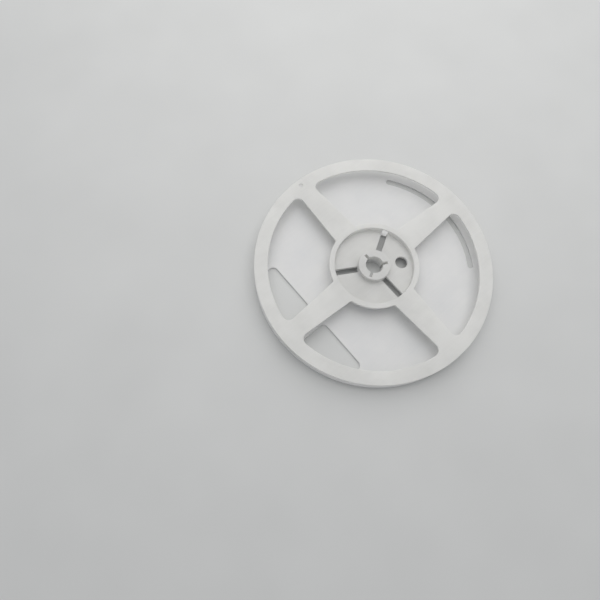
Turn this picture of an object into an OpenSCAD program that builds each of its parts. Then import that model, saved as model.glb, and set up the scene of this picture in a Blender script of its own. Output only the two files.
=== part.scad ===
// Tape reel for 8 mm carrier tape: two moulded halves, each a flange with half of the hub.
// Origin on the spindle axis at the outer face of the back flange, +Z towards the front flange.
// +X runs along a front spoke, opposite to the large opening in the back flange.

/* [Reel] */
// Diameter of both flanges
reel_d = 180; // [165:1:200]
// Thickness of each flange
flange_t = 1.5; // [1.2:0.1:2.5]
// Clear width between the flanges, for the wound tape
tape_gap = 9; // [8.4:0.1:20]
// Radius of the rounding along the outer edge of each flange
rim_round = 0.4; // [0.1:0.1:0.6]

/* [Hub] */
// Diameter of the surface that the tape is wound on
hub_d = 64; // [58:1:72]
// Thickness of the hub's outer wall
hub_wall = 2; // [1.6:0.1:3]
// Thickness of the disc that closes each half of the hub
web_t = 1.5; // [1:0.1:2]
// Height of the skirt on the front half that laps over the back half
lap_h = 1; // [0.6:0.1:1.5]
// Clearance all round the lap joint
lap_gap = 0.1; // [0.05:0.05:0.2]

/* [Arbor] */
// Diameter of the spindle hole
arbor_d = 13; // [12.8:0.1:13.5]
// Diameter of the boss around the spindle hole
boss_d = 24; // [23.5:0.1:27]
// Width of each key slot in the spindle hole
key_w = 2.1; // [1.5:0.1:2.5]
// Diameter that the key slots reach
key_reach_d = 20.6; // [20.2:0.1:21.5]
// Number of key slots, which is also the number of tape slots between them
keys = 3; // [2:1:6]

/* [Hub disc] */
// Width of each slot that takes the start of the tape
tape_slot_w = 4.6; // [2.5:0.1:6]
// Diameter of the round hole in the hub disc
disc_hole_d = 9.4; // [4:0.1:11]
// Distance from the spindle axis to the round hole's centre
disc_hole_r = 22; // [20:0.1:23]

/* [Front windows] */
// Number of spokes, one at each window's end
spokes = 4; // [3:1:6]
// Width of a spoke where it leaves the hub
spoke_root_w = 19.3; // [12:0.1:22]
// Width of a spoke where it meets the rim
spoke_tip_w = 13.8; // [8:0.1:19]
// Width of the flange that stands out around the hub
hub_lip = 2; // [1:0.1:4]
// Width of the rim outside the windows
rim_w = 10.2; // [8:0.1:14]
// Radius of the window corners at the rim
window_rim_r = 5; // [2:0.1:6]
// Radius of the window corners at the hub
window_hub_r = 1.5; // [0.5:0.1:3]
// Diameter of the small hole in the rim, in line with a spoke
rim_hole_d = 3; // [2:0.1:5]

/* [Back openings] */
// Depth of the large opening, from its straight side out to its curved side
opening_depth = 23.6; // [16:0.1:28]
// Width of the bridge that divides the large opening
bridge_w = 16; // [8:0.1:24]
// Radius of the large opening's corners
opening_r = 4; // [2:0.1:5]
// Width of the long curved slot
arc_slot_w = 4.3; // [2:0.1:6]
// Angle from one end of the curved slot to the other
arc_slot_span = 74; // [30:1:100]

/* [Hidden] */
$fn = 120;
over = 1;                                      // how far a cut runs past the surface it opens
cross = 0.005;                                 // how far a rounding circle crosses the sides it blends
reel_h = 2 * flange_t + tape_gap;
half_h = reel_h / 2;                           // where the two halves meet
web_z = half_h - web_t;                        // depth of the recess in each side of the hub
reel_r = reel_d / 2;
hub_r = hub_d / 2;
recess_r = hub_r - hub_wall;
lap_r = hub_r - hub_wall / 2;                  // the lap joint splits the wall in the middle
window_in_r = hub_r + hub_lip;
window_out_r = reel_r - rim_w;
rim_hole_r = reel_r - rim_w / 2;
key_angle = 90;                                // direction of the first key slot
tape_slot_angle = key_angle + 180 / keys;      // the tape slots lie halfway between the key slots
disc_hole_angle = key_angle - 360 / keys;      // the round hole is in line with a key slot
chord_x = window_out_r - opening_depth;

// Straight side of a spoke: it leans in by taper as it runs outwards, side_off from the axis.
taper = atan((spoke_root_w - spoke_tip_w) / 2 / (window_out_r - window_in_r));
side_dir = [cos(taper), -sin(taper)];
side_normal = [sin(taper), cos(taper)];
side_off = side_normal * [window_out_r, spoke_tip_w / 2];

// Distance along a line that lies off from the axis, to where it is r from the axis.
function along(r, off) = sqrt(r * r - off * off);
function on_side(off, s) = off * side_normal + s * side_dir;

// What a rounded corner leaves: the corner quadrilateral less the rounding circle at its first point.
// The circle crosses its two sides by a hair, because one that only touched them would leave slivers.
module corner(centre, tangent_a, tip, tangent_b, r) {
    difference() {
        polygon([centre, tangent_a, tip, tangent_b]);
        translate(centre) circle(r + cross);
    }
}

// Sector from angle 0 to span, wide enough to cover the flange.
module sector(span) {
    far = 2 * reel_r;
    polygon([[0, 0], far * [1, 0], far * [cos(span / 2), sin(span / 2)], far * [cos(span), sin(span)]]);
}

// The two corners beside the spoke that lies along +X, on its left side.
module window_corners() {
    rim_s = along(window_out_r - window_rim_r, side_off + window_rim_r);
    rim_c = on_side(side_off + window_rim_r, rim_s);
    corner(rim_c,
           on_side(side_off - over, rim_s),
           on_side(side_off - over, along(window_out_r, side_off) + over),
           rim_c * (window_out_r + over) / (window_out_r - window_rim_r),
           window_rim_r);
    hub_s = along(window_in_r + window_hub_r, side_off + window_hub_r);
    hub_c = on_side(side_off + window_hub_r, hub_s);
    corner(hub_c,
           on_side(side_off - over, hub_s),
           on_side(side_off - over, along(window_in_r, side_off) - over),
           hub_c * (window_in_r - over) / (window_in_r + window_hub_r),
           window_hub_r);
}

// Everything on the window's side of the left edge of the spoke along +X.
module beside_spoke() {
    far = 2 * reel_r;
    polygon([on_side(side_off, -far), on_side(side_off, far),
             on_side(side_off + far, far), on_side(side_off + far, -far)]);
}

// One window, between the spoke along +X and the next spoke round.
module window() {
    pitch = 360 / spokes;
    difference() {
        intersection() {
            difference() {
                circle(window_out_r);
                circle(window_in_r);
            }
            sector(pitch);
            beside_spoke();
            rotate(pitch) mirror([0, 1]) beside_spoke();
        }
        window_corners();
        rotate(pitch) mirror([0, 1]) window_corners();
    }
}

// Half of the large opening, on the +Y side of its bridge.
module opening_half() {
    bridge_y = bridge_w / 2;
    chord_end = along(window_out_r, chord_x);
    bridge_c = [-chord_x - opening_r, bridge_y + opening_r];
    rim_c = [-along(window_out_r - opening_r, bridge_y + opening_r), bridge_y + opening_r];
    chord_c = [-chord_x - opening_r, along(window_out_r - opening_r, chord_x + opening_r)];
    to_rim = (window_out_r + over) / (window_out_r - opening_r);
    difference() {
        intersection() {
            circle(window_out_r);
            translate([-chord_x - reel_r, bridge_y]) square(reel_r);
        }
        corner(bridge_c,
               [-chord_x + over, bridge_c[1]],
               [-chord_x + over, bridge_y - over],
               [bridge_c[0], bridge_y - over],
               opening_r);
        corner(rim_c,
               [rim_c[0], bridge_y - over],
               [-window_out_r - over, bridge_y - over],
               rim_c * to_rim,
               opening_r);
        corner(chord_c,
               [-chord_x + over, chord_c[1]],
               [-chord_x + over, chord_end + 2 * over],
               chord_c * to_rim,
               opening_r);
    }
}

// Curved slot along the inside of the rim, opposite to the large opening, with round ends.
module arc_slot() {
    middle_r = window_out_r - arc_slot_w / 2;
    intersection() {
        difference() {
            circle(window_out_r);
            circle(window_out_r - arc_slot_w);
        }
        rotate(-arc_slot_span / 2) sector(arc_slot_span);
    }
    for (end = [-1, 1])
        rotate(end * arc_slot_span / 2) translate([middle_r, 0]) circle(arc_slot_w / 2 + cross);
}

// Flange without its openings, with its outer edge rounded.
module flange_blank() {
    rotate_extrude() {
        square([reel_r - rim_round, flange_t]);
        translate([0, rim_round]) square([reel_r, flange_t - 2 * rim_round]);
        for (z = [rim_round, flange_t - rim_round])
            translate([reel_r - rim_round, z]) circle(rim_round);
    }
}

// What both halves share, outer face at z = 0 and parting face at half_h, before the slots.
module half_body() {
    difference() {
        union() {
            flange_blank();
            cylinder(h = half_h, r = hub_r);
        }
        translate([0, 0, -over]) cylinder(h = web_z + over, r = recess_r);
    }
    cylinder(h = half_h, d = boss_d);
}

// Spindle hole with its key slots, the tape slots, and the round hole in the hub disc.
module hub_cuts() {
    translate([0, 0, -over]) {
        cylinder(h = reel_h + 2 * over, d = arbor_d);
        for (i = [0:keys - 1])
            rotate(key_angle + i * 360 / keys) translate([0, -key_w / 2, 0])
                cube([key_reach_d / 2, key_w, reel_h + 2 * over]);
        rotate(disc_hole_angle) translate([disc_hole_r, 0, 0])
            cylinder(h = reel_h + 2 * over, d = disc_hole_d);
    }
    // The tape slots stop at the flanges, so that the flange stays whole around the hub.
    for (i = [0:keys - 1])
        rotate(tape_slot_angle + i * 360 / keys) translate([boss_d / 2, -tape_slot_w / 2, flange_t])
            cube([hub_r + over - boss_d / 2, tape_slot_w, tape_gap]);
}

module back_half() {
    color("whitesmoke") difference() {
        half_body();
        hub_cuts();
        translate([0, 0, half_h - lap_h - lap_gap]) difference() {
            cylinder(h = lap_h + lap_gap + over, r = hub_r + over);
            translate([0, 0, -over]) cylinder(h = lap_h + lap_gap + 3 * over, r = lap_r - lap_gap);
        }
        translate([0, 0, -over]) linear_extrude(flange_t + 2 * over) {
            opening_half();
            mirror([0, 1]) opening_half();
            arc_slot();
        }
    }
}

module front_half() {
    color("white") difference() {
        union() {
            translate([0, 0, reel_h]) mirror([0, 0, 1]) half_body();
            translate([0, 0, half_h - lap_h]) difference() {
                cylinder(h = lap_h + web_t, r = hub_r);
                translate([0, 0, -over]) cylinder(h = lap_h + web_t + 2 * over, r = lap_r);
            }
        }
        hub_cuts();
        translate([0, 0, reel_h - flange_t - over]) {
            linear_extrude(flange_t + 2 * over)
                for (i = [0:spokes - 1]) rotate(i * 360 / spokes) window();
            rotate(key_angle) translate([rim_hole_r, 0, 0])
                cylinder(h = flange_t + 2 * over, d = rim_hole_d);
        }
    }
}

front_half();
back_half();
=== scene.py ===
import math

import bpy
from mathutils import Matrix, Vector
from mathutils.geometry import tessellate_polygon


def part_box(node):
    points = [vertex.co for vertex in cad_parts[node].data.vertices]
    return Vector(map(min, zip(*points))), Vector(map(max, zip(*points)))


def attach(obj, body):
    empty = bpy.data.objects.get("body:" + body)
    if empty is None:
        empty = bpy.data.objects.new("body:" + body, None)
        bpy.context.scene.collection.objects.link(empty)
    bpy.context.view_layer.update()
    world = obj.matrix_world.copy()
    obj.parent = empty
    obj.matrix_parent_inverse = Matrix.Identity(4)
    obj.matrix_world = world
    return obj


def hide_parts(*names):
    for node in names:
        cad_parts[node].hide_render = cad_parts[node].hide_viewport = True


# Tape reel for component tape: two white mouldings, drawn in millimetres in the frame of the CAD model.
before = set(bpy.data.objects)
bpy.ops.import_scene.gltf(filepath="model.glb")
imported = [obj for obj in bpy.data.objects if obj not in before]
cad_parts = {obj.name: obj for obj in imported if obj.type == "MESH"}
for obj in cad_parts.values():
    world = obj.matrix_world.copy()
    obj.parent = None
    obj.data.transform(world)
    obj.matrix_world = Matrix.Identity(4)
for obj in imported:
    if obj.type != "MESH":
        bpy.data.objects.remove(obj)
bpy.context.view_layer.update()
mm = 0.001


def linear(hexColour):
    # sRGB hex to the linear colour that a shader takes
    out = []
    for i in (1, 3, 5):
        c = int(hexColour[i:i + 2], 16) / 255
        out.append(c / 12.92 if c <= 0.04045 else ((c + 0.055) / 1.055) ** 2.4)
    return (*out, 1.0)


def addNode(tree, kind, settings, inputs):
    # one node: settings are its properties, inputs its sockets by name or number, each a value or a link
    node = tree.nodes.new(kind)
    for key, value in settings.items():
        setattr(node, key, value)
    for key, value in inputs.items():
        if isinstance(value, bpy.types.NodeSocket):
            tree.links.new(value, node.inputs[key])
        else:
            node.inputs[key].default_value = value
    return node


# ---- plastic
# Injection-moulded polystyrene, natural white. The eye sees a satin skin with a faint cloudiness and flow
# streaks, and thin walls that let some light through. Sizes are in millimetres, and the skin's grain, really
# about 0.1 mm, is drawn coarser so that it shows.
frontPlastic = {"tones": ((0.32, "#ECECEA"), (0.62, "#F5F5F3")), "cloudSize": 22.0, "streakLong": 45.0,
                "streakWide": 0.9, "streakTurn": 70.0, "streakDepth": 0.25, "roughness": (0.34, 0.46),
                "grainSize": 0.9, "grainHeight": 0.012, "lightThrough": 0.42, "softness": 1.6}
# The back half lies on the table, where less light gets through it, and its flow streaks run another way.
backPlastic = {**frontPlastic, "tones": ((0.32, "#EEEFEF"), (0.62, "#F6F6F5")), "cloudSize": 30.0,
               "streakLong": 38.0, "streakWide": 1.1, "streakTurn": -24.0, "streakDepth": 0.22,
               "roughness": (0.36, 0.5), "lightThrough": 0.19}


def mouldedPolystyrene(name, look):
    mat = bpy.data.materials.new(name)
    mat.use_nodes = True
    tree = mat.node_tree
    shader = tree.nodes["Principled BSDF"]
    place = addNode(tree, "ShaderNodeTexCoord", {}, {}).outputs["Object"]
    cloud = addNode(tree, "ShaderNodeTexNoise", {}, {"Vector": place, "Scale": 1 / (look["cloudSize"] * mm),
                                                     "Detail": 3.0, "Roughness": 0.55})
    along = addNode(tree, "ShaderNodeMapping", {},
                    {"Vector": place, "Rotation": (0, 0, math.radians(look["streakTurn"])),
                     "Scale": (1 / (look["streakLong"] * mm), 1 / (look["streakWide"] * mm),
                               1 / (look["streakWide"] * mm))})
    streaks = addNode(tree, "ShaderNodeTexNoise", {}, {"Vector": along.outputs["Vector"], "Scale": 1.0,
                                                       "Detail": 4.0, "Roughness": 0.6})
    tone = addNode(tree, "ShaderNodeMix", {"data_type": "FLOAT"},
                   {"Factor": look["streakDepth"], 2: cloud.outputs["Fac"], 3: streaks.outputs["Fac"]})
    ramp = addNode(tree, "ShaderNodeValToRGB", {}, {"Fac": tone.outputs[0]})
    for stop, (position, hexColour) in zip(ramp.color_ramp.elements, look["tones"]):
        stop.position = position
        stop.color = linear(hexColour)
    colour = ramp.outputs["Color"]
    low, high = look["roughness"]
    rough = addNode(tree, "ShaderNodeMapRange", {}, {"Value": streaks.outputs["Fac"], "From Min": 0.35,
                                                     "From Max": 0.65, "To Min": low, "To Max": high})
    grain = addNode(tree, "ShaderNodeTexNoise", {}, {"Vector": place, "Scale": 1 / (look["grainSize"] * mm),
                                                     "Detail": 2.0})
    bump = addNode(tree, "ShaderNodeBump", {}, {"Height": grain.outputs["Fac"], "Strength": 0.6,
                                                "Distance": look["grainHeight"] * mm})
    tree.links.new(colour, shader.inputs["Base Color"])
    tree.links.new(rough.outputs["Result"], shader.inputs["Roughness"])
    tree.links.new(bump.outputs["Normal"], shader.inputs["Normal"])
    shader.inputs["IOR"].default_value = 1.59
    shader.inputs["Subsurface Weight"].default_value = 0.25
    shader.inputs["Subsurface Radius"].default_value = (1.0, 1.0, 0.95)
    shader.inputs["Subsurface Scale"].default_value = look["softness"] * mm
    through = addNode(tree, "ShaderNodeBsdfTranslucent", {}, {"Color": colour})
    both = addNode(tree, "ShaderNodeMixShader", {}, {0: look["lightThrough"], 1: shader.outputs["BSDF"],
                                                     2: through.outputs["BSDF"]})
    tree.links.new(both.outputs["Shader"], tree.nodes["Material Output"].inputs["Surface"])
    return mat


# ---- outlines
def arc(centre, radius, start, stop, step=3.0):
    # points along an arc, in millimetres and degrees
    count = max(2, math.ceil(abs(stop - start) / step))
    angles = [math.radians(start + (stop - start) * i / count) for i in range(count + 1)]
    return [(centre[0] + radius * math.cos(a), centre[1] + radius * math.sin(a)) for a in angles]


def heading(point):
    return math.degrees(math.atan2(point[1], point[0]))


def turned(points, degrees):
    c, s = math.cos(math.radians(degrees)), math.sin(math.radians(degrees))
    return [(x * c - y * s, x * s + y * c) for x, y in points]


def mirrored(points):
    return [(x, -y) for x, y in reversed(points)]


def circle(centre, radius, step=3.0):
    return arc(centre, radius, 0, 360, step)[:-1]


# Radii, thicknesses and widths in millimetres, directions in degrees, and places as a radius and a direction.
reel = {"recess": 30.0, "hub": 32.0, "lap": 31.0, "lapHeight": 1.0, "lapGap": 0.1, "flange": 1.5, "web": 1.5,
        "boss": 12.0, "bore": 6.5, "keyReach": 10.3, "keyWidth": 2.1, "keys": (90, 210, 330), "tapeSlot": 4.6,
        "tapeSlots": (30, 150, 270), "discHole": 4.7, "discHoleAt": (22.0, -30)}
reel["outer"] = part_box("front_half")[1].y / mm
reel["height"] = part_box("front_half")[1].z / mm
window = {"inner": 34.0, "outer": 79.8, "rootWidth": 19.3, "tipWidth": 13.8, "rimCorner": 5.0,
          "hubCorner": 1.5, "count": 4, "rimHole": 1.5, "rimHoleAt": (84.9, 90)}
opening = {"chord": 56.2, "bridge": 16.0, "corner": 4.0, "slotInner": 75.5, "slotSpan": 74.0}
# The quarter round of each edge as it leaves the mould, its steps, and from what angle an edge is sharp.
rounds = {"flange": 0.35, "hub": 0.25, "lap": 0.15, "steps": 3, "sharpFrom": 40}
overlap = 1.0  # how far the hub disc reaches into the boss
hair = 0.02  # keeps apart the faces that would lie in one plane, so that the plates join cleanly


def onCircle(place):
    return turned([(place[0], 0)], place[1])[0]


def windowOutline():
    # one window, from the spoke along +X round to the next; its two ends mirror each other
    w = window
    lean = math.atan((w["rootWidth"] - w["tipWidth"]) / 2 / (w["outer"] - w["inner"]))
    along, across = (math.cos(lean), -math.sin(lean)), (math.sin(lean), math.cos(lean))
    side = across[0] * w["outer"] + across[1] * w["tipWidth"] / 2
    hubReach, rimReach = w["inner"] + w["hubCorner"], w["outer"] - w["rimCorner"]
    corners = []
    for reach, radius in ((hubReach, w["hubCorner"]), (rimReach, w["rimCorner"])):
        off = side + radius
        run = math.sqrt(reach ** 2 - off ** 2)
        corners.append([off * across[i] + run * along[i] for i in (0, 1)])
    hubCentre, rimCentre = corners
    down = heading((-across[0], -across[1]))
    end = arc(hubCentre, w["hubCorner"], heading(hubCentre) - 180, down, step=12)
    end += arc(rimCentre, w["rimCorner"], down, heading(rimCentre), step=8)
    pitch = 360 / w["count"]
    outerArc = arc((0, 0), w["outer"], heading(rimCentre), pitch - heading(rimCentre))
    innerArc = arc((0, 0), w["inner"], pitch - heading(hubCentre), heading(hubCentre))
    return end + outerArc[1:-1] + turned(mirrored(end), pitch) + innerArc[1:-1]


def openingOutline():
    # the half of the large back opening on the +Y side of its bridge
    o, outer = opening, window["outer"]
    reach = outer - o["corner"]
    low, right = o["bridge"] / 2 + o["corner"], -o["chord"] - o["corner"]
    rimCentre = (-math.sqrt(reach ** 2 - low ** 2), low)
    chordCentre = (right, math.sqrt(reach ** 2 - right ** 2))
    points = arc(rimCentre, o["corner"], heading(rimCentre), 270, step=10)
    points += arc((right, low), o["corner"], 270, 360, step=10)
    points += arc(chordCentre, o["corner"], 0, heading(chordCentre), step=10)
    return points + arc((0, 0), outer, heading(chordCentre), heading(rimCentre))[1:-1]


def curvedSlotOutline():
    inner, outer, half = opening["slotInner"], window["outer"], opening["slotSpan"] / 2
    middle, radius = (inner + outer) / 2, (outer - inner) / 2
    points = arc((0, 0), outer, -half, half)[:-1]
    points += arc(onCircle((middle, half)), radius, half, half + 180, step=15)
    points += arc((0, 0), inner, half, -half)[1:-1]
    return points + arc(onCircle((middle, -half)), radius, 180 - half, 360 - half, step=15)[:-1]


def keyedBoreOutline():
    half = reel["keyWidth"] / 2
    edge = math.degrees(math.asin(half / reel["bore"]))
    points = []
    for i, key in enumerate(reel["keys"]):
        following = reel["keys"][(i + 1) % len(reel["keys"])]
        points += turned([(reel["keyReach"], -half), (reel["keyReach"], half)], key)
        points += arc((0, 0), reel["bore"], key + edge, key + (following - key) % 360 - edge, step=6)
    return points


def webOutline(outer):
    # the hub disc, with the tape slots running in from its edge
    half = reel["tapeSlot"] / 2
    edge = math.degrees(math.asin(half / outer))
    points = []
    for i, slot in enumerate(reel["tapeSlots"]):
        following = reel["tapeSlots"][(i + 1) % len(reel["tapeSlots"])]
        points += turned([(reel["boss"] + hair, -half), (reel["boss"] + hair, half)], slot)
        points += arc((0, 0), outer, slot + edge, slot + (following - slot) % 360 - edge)
    return points


def wallOutline(inner, outer, gap):
    # the hub wall between two tape slots
    half = gap / 2
    first, last = reel["tapeSlots"][0], reel["tapeSlots"][1]
    innerEdge, outerEdge = (math.degrees(math.asin(half / r)) for r in (inner, outer))
    return (arc((0, 0), outer, first + outerEdge, last - outerEdge)
            + arc((0, 0), inner, last - innerEdge, first + innerEdge))


# ---- plates with rounded edges
def oriented(outline, counterClockwise):
    pairs = zip(outline, outline[1:] + outline[:1])
    area = sum(x0 * y1 - x1 * y0 for (x0, y0), (x1, y1) in pairs)
    return outline if (area > 0) == counterClockwise else outline[::-1]


def inset(outline, distance):
    # the outline moved into the material, which lies on its left
    moved = []
    for i, (x, y) in enumerate(outline):
        ax, ay = outline[i - 1]
        bx, by = outline[(i + 1) % len(outline)]
        before, after = math.hypot(x - ax, y - ay), math.hypot(bx - x, by - y)
        ux, uy = (ay - y) / before, (x - ax) / before
        vx, vy = (y - by) / after, (bx - x) / after
        share = distance / (1 + ux * vx + uy * vy)
        moved.append((x + (ux + vx) * share, y + (uy + vy) * share))
    return moved


def plate(name, plastic, bottom, top, outlines, soft):
    # a plate of even thickness whose edges have a small quarter round; the first outline is the outer one
    loops = [oriented(outline, i == 0) for i, outline in enumerate(outlines)]
    quarter = [math.radians(90 * i / rounds["steps"]) for i in range(rounds["steps"] + 1)]
    levels = [(bottom + soft * (1 - math.cos(t)), soft * (1 - math.sin(t))) for t in quarter]
    levels += [(top - soft * (1 - math.cos(t)), soft * (1 - math.sin(t))) for t in reversed(quarter)]
    points, faces = [], []
    for height, distance in levels:
        points += [(x * mm, y * mm, height * mm) for loop in loops for x, y in inset(loop, distance)]
    count = len(points) // len(levels)
    first = 0
    for loop in loops:
        for start in range(first, first + count * (len(levels) - 1), count):
            around = range(start, start + len(loop))
            faces += [(i, j, j + count, i + count) for i, j in zip(around, [*around[1:], start])]
        first += len(loop)
    cap = tessellate_polygon([[Vector((x, y, 0)) for x, y in inset(loop, soft)] for loop in loops])
    for a, b, c in cap:
        (ax, ay, _), (bx, by, _), (cx, cy, _) = points[a], points[b], points[c]
        if (bx - ax) * (cy - ay) < (cx - ax) * (by - ay):
            b, c = c, b
        last = len(points) - count
        faces += [(a, c, b), (last + a, last + b, last + c)]
    mesh = bpy.data.meshes.new(name)
    mesh.from_pydata(points, [], faces)
    mesh.materials.append(plastic)
    thing = bpy.data.objects.new(name, mesh)
    bpy.context.collection.objects.link(thing)
    return thing


def settle(thing):
    # the modifiers' result becomes the object's own mesh
    ready = thing.evaluated_get(bpy.context.evaluated_depsgraph_get())
    result = bpy.data.meshes.new_from_object(ready)
    thing.modifiers.clear()
    thing.data = result


def ringTree():
    # copies of one part, evenly round the axis
    tree = bpy.data.node_groups.new("ring of copies", "GeometryNodeTree")
    tree.is_modifier = True
    sockets = {"Part": "NodeSocketGeometry", "Copies": "NodeSocketInt", "Plastic": "NodeSocketMaterial"}
    for name, kind in sockets.items():
        tree.interface.new_socket(name, in_out="INPUT", socket_type=kind)
    tree.interface.new_socket("Ring", in_out="OUTPUT", socket_type="NodeSocketGeometry")
    given = addNode(tree, "NodeGroupInput", {}, {}).outputs
    places = addNode(tree, "GeometryNodePoints", {}, {"Count": given["Copies"]})
    index = addNode(tree, "GeometryNodeInputIndex", {}, {})
    pitch = addNode(tree, "ShaderNodeMath", {"operation": "DIVIDE"}, {0: math.tau, 1: given["Copies"]})
    angle = addNode(tree, "ShaderNodeMath", {"operation": "MULTIPLY"},
                    {0: index.outputs[0], 1: pitch.outputs[0]})
    turn = addNode(tree, "ShaderNodeCombineXYZ", {}, {"Z": angle.outputs[0]})
    copies = addNode(tree, "GeometryNodeInstanceOnPoints", {},
                     {"Points": places.outputs[0], "Instance": given["Part"], "Rotation": turn.outputs[0]})
    real = addNode(tree, "GeometryNodeRealizeInstances", {}, {"Geometry": copies.outputs[0]})
    done = addNode(tree, "GeometryNodeSetMaterial", {}, {"Geometry": real.outputs[0],
                                                         "Material": given["Plastic"]})
    addNode(tree, "NodeGroupOutput", {}, {"Ring": done.outputs[0]})
    return tree


rings = ringTree()
identifiers = {item.name: item.identifier for item in rings.interface.items_tree if item.in_out == "INPUT"}


def ringOf(part, copies, plastic):
    nodes = part.modifiers.new("ring", "NODES")
    nodes.node_group = rings
    nodes[identifiers["Copies"]] = copies
    nodes[identifiers["Plastic"]] = plastic
    settle(part)
    return part


def joined(name, parts):
    # the plates of one moulding become one closed solid
    whole = parts[0]
    for part in parts[1:]:
        union = whole.modifiers.new(part.name, "BOOLEAN")
        union.operation = "UNION"
        union.solver = "MANIFOLD"
        union.object = part
    settle(whole)
    for part in parts[1:]:
        bpy.data.objects.remove(part)
    whole.name = name
    for face in whole.data.polygons:
        face.use_smooth = True
    whole.data.set_sharp_from_angle(angle=math.radians(rounds["sharpFrom"]))
    even = whole.modifiers.new("even shading", "WEIGHTED_NORMAL")
    even.keep_sharp = True
    settle(whole)
    return whole


# ---- the two moulded halves
def hubWall(name, plastic, bottom, top, inner, outer, gap, soft):
    segment = plate(name, plastic, bottom, top, [wallOutline(inner, outer, gap)], soft)
    return ringOf(segment, len(reel["tapeSlots"]), plastic)


def hubMiddle(plastic, parting, face):
    # the disc and the boss of one half, from the parting plane to the outer face
    up = 1 if face > parting else -1
    hole = circle(onCircle(reel["discHoleAt"]), reel["discHole"], step=6)
    disc = plate("disc", plastic, *sorted((parting + up * hair, parting + up * reel["web"])),
                 [webOutline(reel["lap"]), circle((0, 0), reel["boss"] - overlap), hole], rounds["hub"])
    boss = plate("boss", plastic, *sorted((parting, face)),
                 [circle((0, 0), reel["boss"]), keyedBoreOutline()], rounds["hub"])
    return [disc, boss]


def flangePlate(plastic, bottom, holes):
    rim, recess = circle((0, 0), reel["outer"], step=1.5), circle((0, 0), reel["recess"] + hair)
    return plate("flange", plastic, bottom, bottom + reel["flange"], [rim, recess, *holes], rounds["flange"])


def frontMoulding():
    plastic = mouldedPolystyrene("injection-moulded white polystyrene, front", frontPlastic)
    top, parting, flange = reel["height"], reel["height"] / 2, reel["flange"]
    holes = [turned(windowOutline(), 360 * i / window["count"]) for i in range(window["count"])]
    holes.append(circle(onCircle(window["rimHoleAt"]), window["rimHole"], step=12))
    parts = [flangePlate(plastic, top - flange, holes)]
    parts.append(hubWall("wall", plastic, parting, top - flange / 2, reel["recess"], reel["hub"],
                         reel["tapeSlot"], rounds["hub"]))
    parts.append(hubWall("skirt", plastic, parting - reel["lapHeight"], parting + reel["lapHeight"],
                         reel["lap"], reel["hub"] - hair, reel["tapeSlot"] + 2 * hair, rounds["lap"]))
    return joined("front_moulding", parts + hubMiddle(plastic, parting, top))


def backMoulding():
    plastic = mouldedPolystyrene("injection-moulded white polystyrene, back", backPlastic)
    parting, flange = reel["height"] / 2, reel["flange"]
    parts = [flangePlate(plastic, 0, [openingOutline(), mirrored(openingOutline()), curvedSlotOutline()])]
    parts.append(hubWall("wall", plastic, flange / 2, parting - reel["lapHeight"] - reel["lapGap"],
                         reel["recess"], reel["hub"], reel["tapeSlot"], rounds["hub"]))
    parts.append(hubWall("tongue", plastic, flange, parting, reel["recess"] + hair,
                         reel["lap"] - reel["lapGap"], reel["tapeSlot"] + 2 * hair, rounds["lap"]))
    return joined("back_moulding", parts + hubMiddle(plastic, parting, 0))


for make, nodeName, slotName in ((frontMoulding, "front_half", "front_plastic"),
                                 (backMoulding, "back_half", "back_plastic")):
    piece = make()
    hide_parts(nodeName)
    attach(piece, "root")
    print(piece.name, "is made, with", len(piece.data.polygons), "faces")


# ---- table top, light and camera
stage = {"tableTones": ((0.3, "#D0D1D0"), (0.7, "#D4D5D4")), "tableSize": 4.0, "patchSize": 70.0,
         "grainSize": 0.7, "grainHeight": 0.01, "skyColour": "#FBFCFF", "skyStrength": 0.48,
         "lampPlace": (0.27, 0.29, 0.60), "lampSize": 1.0, "lampPower": 4.1, "lampColour": "#FFFEFC"}


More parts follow.
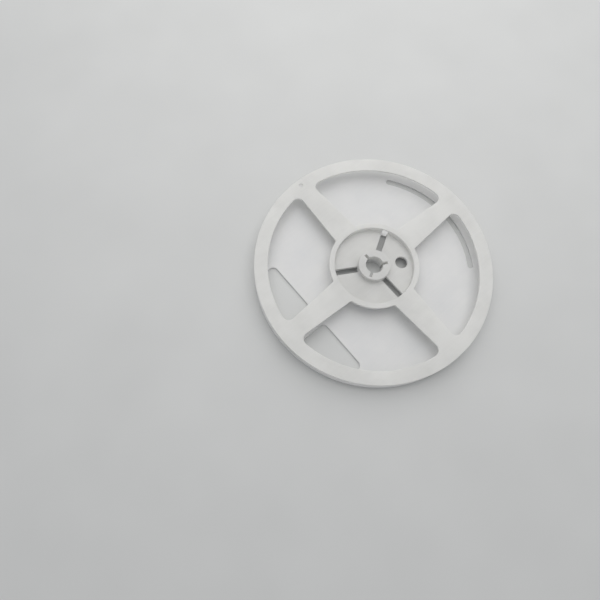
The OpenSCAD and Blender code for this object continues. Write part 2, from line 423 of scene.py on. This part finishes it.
def laminate(look):
    # matt white laminate: a faint unevenness of tone and a shallow grain, drawn coarse so that it shows
    mat = bpy.data.materials.new("matt white laminate table top")
    mat.use_nodes = True
    tree = mat.node_tree
    shader = tree.nodes["Principled BSDF"]
    place = addNode(tree, "ShaderNodeTexCoord", {}, {}).outputs["Object"]
    patches = addNode(tree, "ShaderNodeTexNoise", {}, {"Vector": place, "Scale": 1 / (look["patchSize"] * mm),
                                                       "Detail": 2.0})
    ramp = addNode(tree, "ShaderNodeValToRGB", {}, {"Fac": patches.outputs["Fac"]})
    for stop, (position, hexColour) in zip(ramp.color_ramp.elements, look["tableTones"]):
        stop.position = position
        stop.color = linear(hexColour)
    grain = addNode(tree, "ShaderNodeTexNoise", {}, {"Vector": place, "Scale": 1 / (look["grainSize"] * mm),
                                                     "Detail": 2.0})
    bump = addNode(tree, "ShaderNodeBump", {}, {"Height": grain.outputs["Fac"], "Strength": 0.5,
                                                "Distance": look["grainHeight"] * mm})
    tree.links.new(ramp.outputs["Color"], shader.inputs["Base Color"])
    tree.links.new(bump.outputs["Normal"], shader.inputs["Normal"])
    shader.inputs["Roughness"].default_value = 0.65
    return mat


def makeStage(look):
    bpy.ops.mesh.primitive_plane_add(size=look["tableSize"])
    table = bpy.context.object
    table.name = "table_top"
    table.data.materials.append(laminate(look))
    world = bpy.data.worlds.new("soft room")
    world.use_nodes = True
    sky = world.node_tree.nodes["Background"]
    sky.inputs["Color"].default_value = linear(look["skyColour"])
    sky.inputs["Strength"].default_value = look["skyStrength"]
    bpy.context.scene.world = world
    lamp = bpy.data.lights.new("window light", "AREA")
    lamp.size = look["lampSize"]
    lamp.energy = look["lampPower"]
    lamp.color = linear(look["lampColour"])[:3]
    lampObject = bpy.data.objects.new("window light", lamp)
    bpy.context.collection.objects.link(lampObject)
    lampObject.location = look["lampPlace"]
    lampObject.rotation_mode = "QUATERNION"
    lampObject.rotation_quaternion = lampObject.location.to_track_quat("Z", "Y")


makeStage(stage)
print("the stage is set")

view = {"lens": 30.0, "sensor": 36.0, "location": (-142.8, -53.0, 359.0), "tilt": 16.70, "lean": -3.18,
        "turn": -39.5}
cameraData = bpy.data.cameras.new("camera")
cameraData.lens = view["lens"]
cameraData.sensor_width = view["sensor"]
camera = bpy.data.objects.new("camera", cameraData)
bpy.context.collection.objects.link(camera)
camera.location = [v * mm for v in view["location"]]
camera.rotation_mode = "YXZ"
camera.rotation_euler = [math.radians(view[k]) for k in ("tilt", "lean", "turn")]
bpy.context.scene.camera = camera
bpy.context.scene.view_settings.view_transform = "Standard"
print("the camera looks down at the reel")
